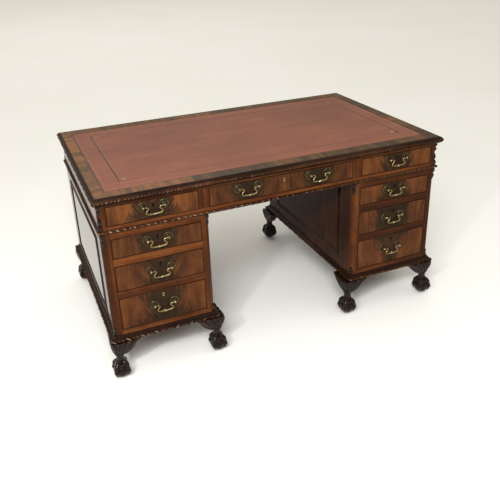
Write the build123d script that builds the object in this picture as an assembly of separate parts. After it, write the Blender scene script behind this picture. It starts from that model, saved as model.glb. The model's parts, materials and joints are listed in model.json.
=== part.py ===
"""Pedestal writing desk with drawers, in the Chippendale manner.

Frame: millimetres, +X to the right, -Y is the drawer side, +Z up. The origin lies on the floor under the
centre of the desk. A leather-lined top sits on a frieze with three drawers, which sits on two pedestals of
three drawers each. Every pedestal has a plinth moulding and four claw-and-ball feet.
"""
from build123d import *
import os
from math import cos, pi, sin

# ---- Driving dimensions -------------------------------------------------------------------------------
TOP_HALF_W = 762.0        # half of the 5 ft top, over the carved edge
TOP_HALF_D = 457.0        # half of the 3 ft top
HEIGHT = 787.0            # 31 in from the floor to the leather
EDGE_OUT = 18.0           # how far the carved edge stands out past the top board
TOP_Z = 757.0             # underside of the top
SKIN = 2.0                # thickness of the leather and of the crossbanding round it
LEATHER_HALF_W = 704.0
LEATHER_HALF_D = 386.0

CASE_HALF_W = 744.0       # outer faces of both cases
CASE_HALF_D = 437.0
CANT = 14.0               # canted corner, measured along each face
FRAME_DEPTH = 22.0        # front rails and stiles, front to back
BACK_THICK = 16.0
TOP_BOARD_THICK = 12.0    # board that closes the top of a pedestal
SIDE_THICK = 16.0

FRIEZE_Z = 654.0          # underside of the frieze case
WAIST_Z = 642.0           # underside of the waist moulding, top of the pedestals
WAIST_OUT = 8.0
WAIST_DEEP = 30.0
FRIEZE_DRAWER_Z = (668.0, 748.0)
FRIEZE_END_X = (360.0, 714.0)      # opening of an end drawer
CENTRE_HALF_X = 319.0              # opening of the centre drawer

PEDESTAL_INNER_X = 325.0
PEDESTAL_OPENING_X = (357.0, 709.0)
PEDESTAL_Z = 197.0                 # underside of the pedestal case, top of the plinth moulding
PEDESTAL_DRAWERS_Z = ((532.0, 616.0), (389.0, 501.0), (219.0, 360.0))   # upper, middle, lower opening

PLINTH_OUT = 20.0
PLINTH_Z = 168.0
FOOT_X = (318.0, 734.0)
FOOT_Y = 428.0

PANEL_EDGE_Y = 328.0      # moulded panel frame on a pedestal side, half length
PANEL_Z = (244.0, 588.0)
PANEL_MARGIN_X = 66.0     # back panel frame, in from the pedestal's edges
MOULD_WIDE = 16.0
MOULD_PROUD = 4.0

DRAWER_LENGTH = 560.0
FRONT_THICK = 20.0
BEAD = 3.0                # cock bead width round a drawer front
BEAD_PROUD = 1.5
FRONT_GAP = 1.0           # round a drawer front
RUN_GAP = 0.6             # drawer above its runner
SIDE_GAP = 1.5            # drawer side to guide
BOX_THICK = 10.0
BOTTOM_THICK = 6.0
BOTTOM_RAISE = 6.0        # drawer bottom above the lower edge of the sides
SIDE_DROP = 8.0           # drawer side below the top of its opening
BACK_DROP = 14.0
STOP_GAP = 0.5            # drawer stop behind the closed drawer
STOP_LONG = 18.0
RUNNER_WIDE = 44.0
RUNNER_THICK = 12.0
GUIDE_HIGH = 20.0

POST_HALF = 41.0          # handle posts, half the distance between them
POST_PIN_OUT = 13.0       # bail pin in front of the drawer face
POST_LONG = 19.0
POST_R = 5.5
SHANK_R = 2.4
PIN_R = 2.4
PIN_CLEAR = 0.05
ROSE_R = 17.5
ROSE_THICK = 1.5
NUT_R = 6.0
NUT_THICK = 4.0
SHANK_PAST_NUT = 3.0
KEY_R = 4.0
KEY_RING = 1.4            # wall of the escutcheon ring
KEY_PROUD = 0.6
LOCK_SIZE = (46.0, 9.0, 30.0)
LOCK_ABOVE_KEY = 8.0
KEY_DROP = 21.0           # keyhole below the top of its opening
FRIEZE_PIN_Z = 721.0      # height of the frieze handles' pins
CENTRE_HANDLE_X = 156.0   # the centre drawer's two handles, each side of the middle
PEDESTAL_PIN_Z = (584.0, 452.0, 297.0)

FACE_Y = -CASE_HALF_D     # the drawer side's face


# ---- Helpers ------------------------------------------------------------------------------------------
def slab(x, y, z):
    """A box from three (low, high) pairs."""
    size = [abs(pair[1] - pair[0]) for pair in (x, y, z)]
    centre = [(pair[0] + pair[1]) / 2 for pair in (x, y, z)]
    return Pos(*centre) * Box(*size)


def prism(points, z_low, z_high):
    """A vertical prism on an outline given in plan."""
    outline = Polyline(*[(x, y) for x, y in points], close=True)
    return Pos(0, 0, z_low) * extrude(make_face(outline), amount=z_high - z_low)


def flip_x(pair, side):
    """An (inner, outer) pair of distances from the centre line as (low, high) on side -1 or +1."""
    return tuple(sorted((side * pair[0], side * pair[1])))


def mitred_bars(centre, half_x, half_y, section):
    """Four bars round a rectangle, cut at 45 degrees. The section is a face of (outward, height)."""
    bars = []
    reach = {0: half_x, 1: half_y, 2: half_x, 3: half_y}
    for quarter in range(4):
        out = Vector(round(cos(quarter * pi / 2)), round(sin(quarter * pi / 2)), 0)
        along = out.cross(Vector(0, 0, 1))
        here, across = reach[quarter], reach[(quarter + 1) % 4]
        origin = Vector(*centre, 0) + out * here
        plane = Plane(origin=origin, x_dir=out, z_dir=along)
        bar = extrude(plane * section, amount=across + 60.0, both=True)
        for hand in (1, -1):
            corner = origin + along * (hand * across)
            bar = split(bar, Plane(origin=corner, z_dir=out - along * hand), keep=Keep.TOP)
        bars.append(bar)
    return bars


def section(points):
    return make_face(Polyline(*points, close=True))


def save(name, solids):
    export_step(Compound(label=name, children=list(solids)), f"parts/{name}.step")


# ---- Top ----------------------------------------------------------------------------------------------
def make_top():
    board_w, board_d = TOP_HALF_W - EDGE_OUT, TOP_HALF_D - EDGE_OUT
    board = slab((-board_w, board_w), (-board_d, board_d), (TOP_Z, HEIGHT - SKIN))
    bands = [
        slab((-board_w, board_w), flip_x((LEATHER_HALF_D, board_d), s), (HEIGHT - SKIN, HEIGHT))
        for s in (-1, 1)
    ]
    bands += [
        slab(flip_x((LEATHER_HALF_W, board_w), s), (-LEATHER_HALF_D, LEATHER_HALF_D), (HEIGHT - SKIN, HEIGHT))
        for s in (-1, 1)
    ]
    save("top_board", [board] + bands)
    save("leather_writing_surface", [
        slab((-LEATHER_HALF_W, LEATHER_HALF_W), (-LEATHER_HALF_D, LEATHER_HALF_D), (HEIGHT - SKIN, HEIGHT))
    ])
    edge = section([
        (0, TOP_Z), (7, TOP_Z), (15, 766), (EDGE_OUT, 773),
        (EDGE_OUT, 778), (14, 784), (7, HEIGHT), (0, HEIGHT),
    ])
    save("carved_top_edge", mitred_bars((0, 0), board_w, board_d, edge))


# ---- Frieze case --------------------------------------------------------------------------------------
def front_stile(x_inner, side):
    """The canted stile at an outer front corner, in plan."""
    cant_x, cant_y = CASE_HALF_W - CANT, -CASE_HALF_D + CANT
    points = [
        (CASE_HALF_W, FACE_Y + FRAME_DEPTH), (x_inner, FACE_Y + FRAME_DEPTH), (x_inner, FACE_Y),
        (cant_x, FACE_Y), (CASE_HALF_W, cant_y),
    ]
    return [(side * x, y) for x, y in points]


def back_board(x_low, x_high):
    """A back board in plan, with both of its rear corners canted."""
    inside = CASE_HALF_D - BACK_THICK
    return [
        (x_low, inside), (x_high, inside), (x_high, CASE_HALF_D - CANT),
        (x_high - CANT, CASE_HALF_D), (x_low + CANT, CASE_HALF_D), (x_low, CASE_HALF_D - CANT),
    ]


def make_frieze():
    low, high = FRIEZE_DRAWER_Z
    frame_y = (FACE_Y, FACE_Y + FRAME_DEPTH)
    inside_y = (FACE_Y + FRAME_DEPTH, CASE_HALF_D - BACK_THICK)
    stop_y = (FACE_Y + DRAWER_LENGTH + STOP_GAP, FACE_Y + DRAWER_LENGTH + STOP_GAP + STOP_LONG)
    inner_end, outer_end = FRIEZE_END_X
    board_x = CASE_HALF_W - SIDE_THICK

    frame = [prism(front_stile(outer_end, s), FRIEZE_Z, TOP_Z) for s in (-1, 1)]
    frame += [slab(flip_x((CENTRE_HALF_X, inner_end), s), frame_y, (low, high)) for s in (-1, 1)]
    frame += [slab((-outer_end, outer_end), frame_y, z) for z in ((FRIEZE_Z, low), (high, TOP_Z))]
    save("frieze_front_frame", frame)
    ends = [slab(flip_x((board_x, CASE_HALF_W), s), inside_y, (FRIEZE_Z, TOP_Z)) for s in (-1, 1)]
    save("frieze_ends", ends)
    save("frieze_back", [prism(back_board(-CASE_HALF_W, CASE_HALF_W), FRIEZE_Z, TOP_Z)])

    bottom_top = low - BOTTOM_THICK
    supports = [slab((-board_x, board_x), inside_y, (FRIEZE_Z, bottom_top))]
    divider = (330.0, 349.0)
    for s in (-1, 1):
        supports.append(slab(flip_x(divider, s), inside_y, (bottom_top, TOP_Z)))
        for x in ((divider[0] - RUNNER_WIDE, divider[0]), (divider[1], divider[1] + RUNNER_WIDE),
                  (board_x - RUNNER_WIDE, board_x)):
            supports.append(slab(flip_x(x, s), inside_y, (bottom_top, low)))
        for x in ((divider[0] - RUNNER_WIDE, CENTRE_HALF_X), (inner_end, divider[1] + RUNNER_WIDE)):
            supports.append(slab(flip_x(x, s), stop_y, (low, low + GUIDE_HIGH)))
        for x in ((CENTRE_HALF_X, divider[0]), (divider[1], inner_end), (outer_end, board_x)):
            supports.append(slab(flip_x(x, s), inside_y, (low, low + GUIDE_HIGH)))
    save("frieze_drawer_supports", supports)

    half_round = (FRIEZE_Z - WAIST_Z) / 2
    nose = WAIST_OUT - half_round
    bead = make_face([
        Polyline(
            (nose, WAIST_Z), (nose - WAIST_DEEP, WAIST_Z),
            (nose - WAIST_DEEP, FRIEZE_Z), (nose, FRIEZE_Z),
        ),
        ThreePointArc((nose, FRIEZE_Z), (WAIST_OUT, FRIEZE_Z - half_round), (nose, WAIST_Z)),
    ])
    save("waist_moulding", mitred_bars((0, 0), CASE_HALF_W, CASE_HALF_D, bead))


# ---- Pedestals ----------------------------------------------------------------------------------------
def panel_moulding(plane, half_u, z):
    """An applied moulded frame, half_u to each side of the plane's origin, between the heights in z."""
    bars = []
    mid_z, half_v = (z[0] + z[1]) / 2, (z[1] - z[0]) / 2
    for bar in mitred_bars((0, 0), half_u, half_v, section([
            (-MOULD_WIDE, 0), (0, 0), (0, MOULD_PROUD * 0.5), (-MOULD_WIDE / 2, MOULD_PROUD),
            (-MOULD_WIDE, MOULD_PROUD * 0.5)])):
        bars.append(plane * Pos(0, mid_z, 0) * bar)
    return bars


def make_pedestal_tops():
    boards = []
    y = (FACE_Y + FRAME_DEPTH, CASE_HALF_D - BACK_THICK)
    for side in (-1, 1):
        x = flip_x((PEDESTAL_INNER_X + SIDE_THICK, CASE_HALF_W - SIDE_THICK), side)
        boards.append(slab(x, y, (WAIST_Z - TOP_BOARD_THICK, WAIST_Z)))
    save("pedestal_top_boards", boards)


def make_pedestal(name, side):
    inner, outer = PEDESTAL_OPENING_X
    frame_y = (FACE_Y, FACE_Y + FRAME_DEPTH)
    inside_y = (FACE_Y + FRAME_DEPTH, CASE_HALF_D - BACK_THICK)
    tall = (PEDESTAL_Z, WAIST_Z)

    for which, face, out in (("outer", CASE_HALF_W, 1), ("inner", PEDESTAL_INNER_X, -1)):
        board = slab(flip_x((face - out * SIDE_THICK, face), side), inside_y, tall)
        plane = Plane(origin=(side * face, 0, 0), x_dir=(0, 1, 0), z_dir=(side * out, 0, 0))
        up = 1 if side * out > 0 else -1
        z = tuple(sorted((up * PANEL_Z[0], up * PANEL_Z[1])))
        save(f"{name}_pedestal_{which}_side", [board] + panel_moulding(plane, PANEL_EDGE_Y, z))

    low_x, high_x = flip_x((PEDESTAL_INNER_X, CASE_HALF_W), side)
    mid_x, half_x = (low_x + high_x) / 2, (high_x - low_x) / 2
    plane = Plane(origin=(mid_x, CASE_HALF_D, 0), x_dir=(-1, 0, 0), z_dir=(0, 1, 0))
    save(f"{name}_pedestal_back", [prism(back_board(low_x, high_x), *tall)]
         + panel_moulding(plane, half_x - PANEL_MARGIN_X, PANEL_Z))

    inner_stile = [
        (PEDESTAL_INNER_X, frame_y[1]), (inner, frame_y[1]), (inner, FACE_Y),
        (PEDESTAL_INNER_X + CANT, FACE_Y), (PEDESTAL_INNER_X, FACE_Y + CANT),
    ]
    frame = [prism(front_stile(outer, side), *tall), prism([(side * x, y) for x, y in inner_stile], *tall)]
    edges = [WAIST_Z] + [z for opening in PEDESTAL_DRAWERS_Z for z in reversed(opening)] + [PEDESTAL_Z]
    for top, bottom in zip(edges[0::2], edges[1::2]):
        frame.append(slab(flip_x((inner, outer), side), frame_y, (bottom, top)))
    save(f"{name}_pedestal_front_frame", frame)

    runners = []
    wall_in, wall_out = PEDESTAL_INNER_X + SIDE_THICK, CASE_HALF_W - SIDE_THICK
    stop_y = (FACE_Y + DRAWER_LENGTH + STOP_GAP, FACE_Y + DRAWER_LENGTH + STOP_GAP + STOP_LONG)
    for low, _ in PEDESTAL_DRAWERS_Z:
        for x in ((wall_in, wall_in + RUNNER_WIDE), (wall_out - RUNNER_WIDE, wall_out)):
            runners.append(slab(flip_x(x, side), inside_y, (low - RUNNER_THICK, low)))
        runners.append(slab(flip_x((inner, wall_in + RUNNER_WIDE), side), stop_y, (low, low + GUIDE_HIGH)))
        for x in ((wall_in, inner), (outer, wall_out)):
            runners.append(slab(flip_x(x, side), inside_y, (low, low + GUIDE_HIGH)))
    save(f"{name}_pedestal_drawer_runners", runners)

    profile = section([
        (-WAIST_DEEP, PLINTH_Z), (15, PLINTH_Z), (PLINTH_OUT, 172), (PLINTH_OUT, 186), (0, PEDESTAL_Z),
        (-WAIST_DEEP, PEDESTAL_Z),
    ])
    plinth = mitred_bars((mid_x, 0), half_x, CASE_HALF_D, profile)
    floor_x, floor_y = half_x - WAIST_DEEP, CASE_HALF_D - WAIST_DEEP
    floor = slab((mid_x - floor_x, mid_x + floor_x), (-floor_y, floor_y), (PEDESTAL_Z - 12, PEDESTAL_Z))
    plinth.append(floor)
    save(f"{name}_pedestal_plinth", plinth)

    feet = []
    for foot_x in FOOT_X:
        out_x = side * (1 if foot_x > mid_x * side else -1)
        for out_y in (-1, 1):
            feet += make_foot(side * foot_x, out_y * FOOT_Y, out_x, out_y)
    save(f"{name}_pedestal_feet", feet)


# ---- Claw-and-ball feet -------------------------------------------------------------------------------
BALL_R = 41.0
BALL_Z = 39.0             # lower than the radius, so the ball ends in a flat pad on the floor
BALL_TOP_Z = 77.0
LEG_SECTIONS = (          # height, radius, how far the centre leans out along each of X and Y
    (PLINTH_Z, 29.0, 0.0), (148.0, 31.0, 2.0), (128.0, 25.0, 2.0), (110.0, 19.0, 0.0), (96.0, 18.0, -1.0),
    (BALL_TOP_Z, 24.0, 0.0),
)
EAR_OUTLINE = (
    (28.0, PLINTH_Z), (95.0, PLINTH_Z), (92.0, 156.0), (72.0, 134.0), (48.0, 116.0), (28.0, 108.0),
)
EAR_THICK = 24.0


def make_foot(x, y, out_x, out_y):
    """A carved leg with a ball foot, and the two brackets that run from it under the plinth moulding."""
    rings = [
        Pos(x + lean * out_x, y + lean * out_y, z) * Circle(radius) for z, radius, lean in LEG_SECTIONS
    ]
    ball = split(Pos(x, y, BALL_Z) * Sphere(BALL_R), Plane.XY, keep=Keep.TOP)
    ball = split(ball, Plane.XY.offset(BALL_TOP_Z), keep=Keep.BOTTOM)
    leg = loft(rings) + ball
    ears = []
    for inward, across in (((-out_x, 0, 0), (0, out_x, 0)), ((0, -out_y, 0), (-out_y, 0, 0))):
        plane = Plane(origin=(x, y, 0), x_dir=inward, z_dir=across)
        up = 1 if plane.y_dir.Z > 0 else -1
        outline = section([(u, up * z) for u, z in EAR_OUTLINE])
        ears.append(extrude(plane * outline, amount=EAR_THICK / 2, both=True) - leg)
    return [leg] + ears


# ---- Drawers ------------------------------------------------------------------------------------------
def turned(x, z, radius, y_from, y_to):
    """A round bar lying along Y."""
    return Pos(x, (y_from + y_to) / 2, z) * Rot(90, 0, 0) * Cylinder(radius, y_to - y_from)


def handle_parts(x, z):
    """Roses, posts, shanks and nuts of one handle, centred at x with its pin at height z."""
    parts = []
    tip_y, rose_y, nut_y = FACE_Y - POST_LONG, FACE_Y - ROSE_THICK, FACE_Y + FRONT_THICK
    for post_x in (x - POST_HALF, x + POST_HALF):
        post = turned(post_x, z, POST_R, tip_y, rose_y)
        post += turned(post_x, z, SHANK_R, tip_y, nut_y + NUT_THICK + SHANK_PAST_NUT)
        pin_hole = Rot(0, 90, 0) * Cylinder(PIN_R + PIN_CLEAR, 4 * POST_R)
        post -= Pos(post_x, FACE_Y - POST_PIN_OUT, z) * pin_hole
        rose = turned(post_x, z, ROSE_R, rose_y, FACE_Y) - turned(post_x, z, SHANK_R, rose_y, FACE_Y)
        nut = turned(post_x, z, NUT_R, nut_y, nut_y + NUT_THICK)
        nut -= turned(post_x, z, SHANK_R, nut_y, nut_y + NUT_THICK)
        parts += [post, rose, nut]
    return parts


def lock_parts(x, z):
    """The escutcheon ring round the keyhole and the lock on the inside of the front."""
    ring_y = (FACE_Y - KEY_PROUD, FACE_Y + FRONT_THICK / 2)
    ring = turned(x, z, KEY_R, *ring_y) - turned(x, z, KEY_R - KEY_RING, *ring_y)
    wide, deep, high = LOCK_SIZE
    behind = FACE_Y + FRONT_THICK
    top = z + LOCK_ABOVE_KEY
    return [ring, slab((x - wide / 2, x + wide / 2), (behind, behind + deep), (top - high, top))]


def make_bail(x, z):
    """The swinging swan-neck bail, hanging from pins in its two posts."""
    half = [(POST_HALF + 2.0, 0.0), (20.0, 0.0), (36.0, -15.0), (28.5, -28.0)]
    bends = [4.0, 8.0, 8.0]
    points = half + [(-u, v) for u, v in reversed(half)]
    path = FilletPolyline(*[(u, v) for u, v in points], radius=bends + bends[::-1])
    path = Plane(origin=(x, FACE_Y - POST_PIN_OUT, z), x_dir=(1, 0, 0), z_dir=(0, -1, 0)) * path
    start = Plane(origin=path @ 0, z_dir=path % 0)
    return sweep(start * Circle(PIN_R), path=path)


def make_drawer(name, x, z, handles, pin_z, key_z):
    """One drawer: x and z are the (low, high) pairs of its opening."""
    front_x = (x[0] + FRONT_GAP, x[1] - FRONT_GAP)
    front_z = (z[0] + FRONT_GAP, z[1] - FRONT_GAP)
    back_y = FACE_Y + FRONT_THICK
    mid_x = (x[0] + x[1]) / 2

    inner_x = (front_x[0] + BEAD, front_x[1] - BEAD)
    inner_z = (front_z[0] + BEAD, front_z[1] - BEAD)
    board = slab(inner_x, (FACE_Y, back_y), inner_z)
    for handle_x in handles:
        for post_x in (handle_x - POST_HALF, handle_x + POST_HALF):
            board -= Pos(post_x, FACE_Y, pin_z) * Rot(90, 0, 0) * Cylinder(SHANK_R + 0.1, 4 * FRONT_THICK)
    board -= Pos(mid_x, FACE_Y, key_z) * Rot(90, 0, 0) * Cylinder(KEY_R, 4 * FRONT_THICK)
    bead_y = (FACE_Y - BEAD_PROUD, back_y)
    beads = [slab(front_x, bead_y, pair) for pair in (
        (front_z[0], front_z[0] + BEAD), (front_z[1] - BEAD, front_z[1]))]
    beads += [slab(pair, bead_y, (front_z[0] + BEAD, front_z[1] - BEAD)) for pair in (
        (front_x[0], front_x[0] + BEAD), (front_x[1] - BEAD, front_x[1]))]
    save(f"{name}_drawer_front", [board] + beads)

    side_x = (x[0] + SIDE_GAP, x[1] - SIDE_GAP)
    low = z[0] + RUN_GAP
    side_z = (low, z[1] - SIDE_DROP)
    end_y = FACE_Y + DRAWER_LENGTH
    inner_x = (side_x[0] + BOX_THICK, side_x[1] - BOX_THICK)
    sides = [slab(pair, (back_y, end_y), side_z) for pair in (
        (side_x[0], inner_x[0]), (inner_x[1], side_x[1]))]
    bottom_z = (low + BOTTOM_RAISE, low + BOTTOM_RAISE + BOTTOM_THICK)
    bottom = slab(inner_x, (back_y, end_y), bottom_z)
    back = slab(inner_x, (end_y - BOX_THICK, end_y), (bottom_z[1], z[1] - BACK_DROP))
    save(f"{name}_drawer_box", sides + [bottom, back])

    fittings = lock_parts(mid_x, key_z)
    for handle_x in handles:
        fittings += handle_parts(handle_x, pin_z)
    save(f"{name}_drawer_fittings", fittings)
    for index, handle_x in enumerate(handles):
        which = "" if len(handles) == 1 else ("_left", "_right")[index]
        save(f"{name}_drawer{which}_handle", [make_bail(handle_x, pin_z)])


def make_drawers():
    frieze_key_z = FRIEZE_DRAWER_Z[1] - KEY_DROP
    make_drawer("centre", (-CENTRE_HALF_X, CENTRE_HALF_X), FRIEZE_DRAWER_Z,
                (-CENTRE_HANDLE_X, CENTRE_HANDLE_X), FRIEZE_PIN_Z, frieze_key_z)
    for name, side in (("left", -1), ("right", 1)):
        x = flip_x(FRIEZE_END_X, side)
        make_drawer(f"{name}_frieze", x, FRIEZE_DRAWER_Z, (sum(x) / 2,), FRIEZE_PIN_Z, frieze_key_z)
        x = flip_x(PEDESTAL_OPENING_X, side)
        for level, z, pin_z in zip(("upper", "middle", "lower"), PEDESTAL_DRAWERS_Z, PEDESTAL_PIN_Z):
            make_drawer(f"{name}_{level}", x, z, (sum(x) / 2,), pin_z, z[1] - KEY_DROP)


os.makedirs("parts", exist_ok=True)
make_top()
make_frieze()
make_pedestal_tops()
make_pedestal("left", -1)
make_pedestal("right", 1)
make_drawers()
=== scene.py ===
"""Looks of the pedestal writing desk: polished mahogany, a tooled leather top, carved mouldings, claw-and-ball
feet and swan-neck brass handles. Everything is in metres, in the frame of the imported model."""

import json
import random
from itertools import product
from math import atan2, cos, pi, radians, sin, sqrt

import bpy
import numpy as np
from mathutils import Matrix, Vector

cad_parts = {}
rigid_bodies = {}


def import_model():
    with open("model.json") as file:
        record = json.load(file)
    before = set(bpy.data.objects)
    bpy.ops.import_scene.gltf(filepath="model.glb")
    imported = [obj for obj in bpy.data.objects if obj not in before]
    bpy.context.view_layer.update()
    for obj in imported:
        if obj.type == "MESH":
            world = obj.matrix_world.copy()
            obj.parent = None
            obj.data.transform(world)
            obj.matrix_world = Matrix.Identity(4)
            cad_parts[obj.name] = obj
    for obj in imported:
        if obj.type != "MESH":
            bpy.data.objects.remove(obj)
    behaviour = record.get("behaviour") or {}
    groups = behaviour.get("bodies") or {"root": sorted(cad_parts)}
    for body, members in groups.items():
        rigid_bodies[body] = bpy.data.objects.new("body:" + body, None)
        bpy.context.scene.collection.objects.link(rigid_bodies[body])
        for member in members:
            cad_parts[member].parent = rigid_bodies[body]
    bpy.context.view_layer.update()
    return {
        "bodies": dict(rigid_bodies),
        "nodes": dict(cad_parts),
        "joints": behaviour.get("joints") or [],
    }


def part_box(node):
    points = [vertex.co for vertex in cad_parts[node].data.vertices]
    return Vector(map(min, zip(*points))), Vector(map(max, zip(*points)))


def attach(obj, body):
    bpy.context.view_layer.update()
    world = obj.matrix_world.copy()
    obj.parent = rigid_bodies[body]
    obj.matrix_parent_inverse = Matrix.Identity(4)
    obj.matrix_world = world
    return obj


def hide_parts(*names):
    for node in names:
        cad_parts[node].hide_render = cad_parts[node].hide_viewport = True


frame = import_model()
MM = 0.001
SIDES = ("left", "right")
TURNS = {"x": (0, 1, 2), "y": (1, 2, 0), "z": (2, 0, 1)}

# ---- Camera and studio
CAMERA_AT = Vector((-1.0025, -2.5165, 1.6490))
CAMERA_YAW, CAMERA_PITCH, CAMERA_ROLL = 0.38831, 0.42602, -0.03574
CAMERA_LENS = 44.85
CAMERA_SHIFT = -0.084
LOW_SKY, HIGH_SKY = (0.30, 0.272, 0.200), (1.08, 1.06, 1.00)
SKY_RISE = (0.30, 0.75)                        # sines of the elevation between which the sky brightens
LIGHTS = {                                     # place, target, size, watts, colour
    "front_softbox": ((-1.5, -3.1, 3.1), (-0.1, -0.2, 0.3), (1.7, 1.2), 160.0, (0.96, 0.985, 1.0)),
    "sparkle": ((-2.1, -2.3, 2.2), (-0.4, -0.3, 0.5), (0.18, 0.18), 36.0, (1.0, 1.0, 1.0)),
    "background_light": ((0.0, 8.0, 5.0), (0.0, 8.0, 0.0), (8.0, 8.0), 85.0, (1.0, 1.0, 1.0)),
}
FLOOR_REACH = 30.0


def link(name, data, at=(0.0, 0.0, 0.0)):
    """A new object in the scene."""
    obj = bpy.data.objects.new(name, data)
    obj.location = at
    bpy.context.scene.collection.objects.link(obj)
    return obj


def make_camera():
    ahead = Vector((
        sin(CAMERA_YAW) * cos(CAMERA_PITCH), cos(CAMERA_YAW) * cos(CAMERA_PITCH), -sin(CAMERA_PITCH)))
    level = Vector((cos(CAMERA_YAW), -sin(CAMERA_YAW), 0.0))
    above = level.cross(ahead)
    right = level * cos(CAMERA_ROLL) + above * sin(CAMERA_ROLL)
    up = above * cos(CAMERA_ROLL) - level * sin(CAMERA_ROLL)
    data = bpy.data.cameras.new("camera")
    data.lens = CAMERA_LENS
    data.shift_y = CAMERA_SHIFT
    camera = link("camera", data)
    camera.matrix_world = Matrix.Translation(CAMERA_AT) @ Matrix((right, up, -ahead)).transposed().to_4x4()
    bpy.context.scene.camera = camera


def area_light(name, at, target, size, watts, colour):
    data = bpy.data.lights.new(name, "AREA")
    data.shape = "RECTANGLE"
    data.size, data.size_y = size
    data.energy = watts
    data.color = colour
    light = link(name, data, at)
    light.rotation_euler = (Vector(target) - Vector(at)).to_track_quat("-Z", "Y").to_euler()


def make_studio():
    scene = bpy.context.scene
    scene.view_settings.view_transform = "Standard"
    sky = Graph("studio", "worlds", "Background")
    rise = sky.span(sky.parts(sky.node("TexCoord", output="Generated"))[2], *SKY_RISE)
    sky.surface(Color=sky.mix(rise, LOW_SKY, HIGH_SKY))
    scene.world = sky.block
    for name, settings in LIGHTS.items():
        area_light(name, *settings)
    far = FLOOR_REACH
    mesh = bpy.data.meshes.new("floor")
    mesh.from_pydata([(-far, -far, 0), (far, -far, 0), (far, far, 0), (-far, far, 0)], [], [(0, 1, 2, 3)])
    mesh.materials.append(floor_paper())
    floor = link("floor", mesh)


# ---- Shader helpers
class Graph:
    """A material or world and short calls that add nodes to it. Each call returns the new node's output."""

    def __init__(self, name, kind="materials", shader="Principled BSDF"):
        self.block = getattr(bpy.data, kind).new(name)
        self.block.use_nodes = True
        self.tree = self.block.node_tree
        self.shader = self.tree.nodes[shader]

    def feed(self, value, socket):
        if isinstance(value, bpy.types.NodeSocket):
            self.tree.links.new(value, socket)
        elif socket.type == "RGBA":
            socket.default_value = (*value, 1.0)
        else:
            socket.default_value = value

    def node(self, kind, inputs=(), output=0, **settings):
        node = self.tree.nodes.new("ShaderNode" + kind)
        for setting, value in settings.items():
            setattr(node, setting, value)
        for socket in inputs:
            self.feed(inputs[socket], node.inputs[socket])
        return node.outputs[output]

    def surface(self, **values):
        """Sets the shader's inputs, with underscores for the spaces in their names."""
        for name, value in values.items():
            self.feed(value, self.shader.inputs[name.replace("_", " ")])

    def attribute(self, name, output="Vector"):
        return self.node("Attribute", output=output, attribute_name=name)

    def object_space(self):
        return self.node("TexCoord", output="Object")

    def vector(self, operation, a, b):
        return self.node("VectorMath", {0: a, 1: b}, "Vector", operation=operation)

    def parts(self, vector):
        return self.node("SeparateXYZ", {0: vector}, slice(3))

    def join(self, x, y, z):
        return self.node("CombineXYZ", {0: x, 1: y, 2: z})

    def noise(self, vector, stretch, detail=3.0, rough=0.5):
        """Noise whose frequency along each axis, per metre, is given by stretch."""
        place = {"Vector": self.vector("MULTIPLY", vector, stretch), "Scale": 1.0}
        return self.node("TexNoise", {**place, "Detail": detail, "Roughness": rough}, "Fac")

    def math(self, operation, a, b=0.0):
        return self.node("Math", {0: a, 1: b}, operation=operation)

    def total(self, *terms):
        """The sum of (weight, value) pairs."""
        result = None
        for weight, value in terms:
            part = self.math("MULTIPLY", value, weight)
            result = part if result is None else self.math("ADD", result, part)
        return result

    def span(self, value, low, high, to_low=0.0, to_high=1.0):
        limits = {"From Min": low, "From Max": high, "To Min": to_low, "To Max": to_high}
        return self.node("MapRange", {"Value": value, **limits}, "Result")

    def ramp(self, value, *stops):
        output = self.node("ValToRGB", {0: value}, "Color")
        elements = output.node.color_ramp.elements
        while len(elements) < len(stops):
            elements.new(1.0)
        for element, (position, colour) in zip(elements, stops):
            element.position = position
            element.color = (*colour, 1.0)
        return output

    def mix(self, factor, a, b):
        return self.node("Mix", {"Factor": factor, 6: a, 7: b}, 2, data_type="RGBA")

    def bump(self, height, distance, strength):
        return self.node("Bump", {"Strength": strength, "Distance": distance, "Height": height}, "Normal")

    def pointiness(self, low, high):
        """From 0 in a hollow to 1 on a crest."""
        return self.span(self.node("NewGeometry", output="Pointiness"), low, high)


# ---- Materials
TONE_SPAN = (0.50, 0.86)                       # of the summed noises, from the darkest wood to the lightest


def shaded(colour, share):
    return tuple(share * c for c in colour)


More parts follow.
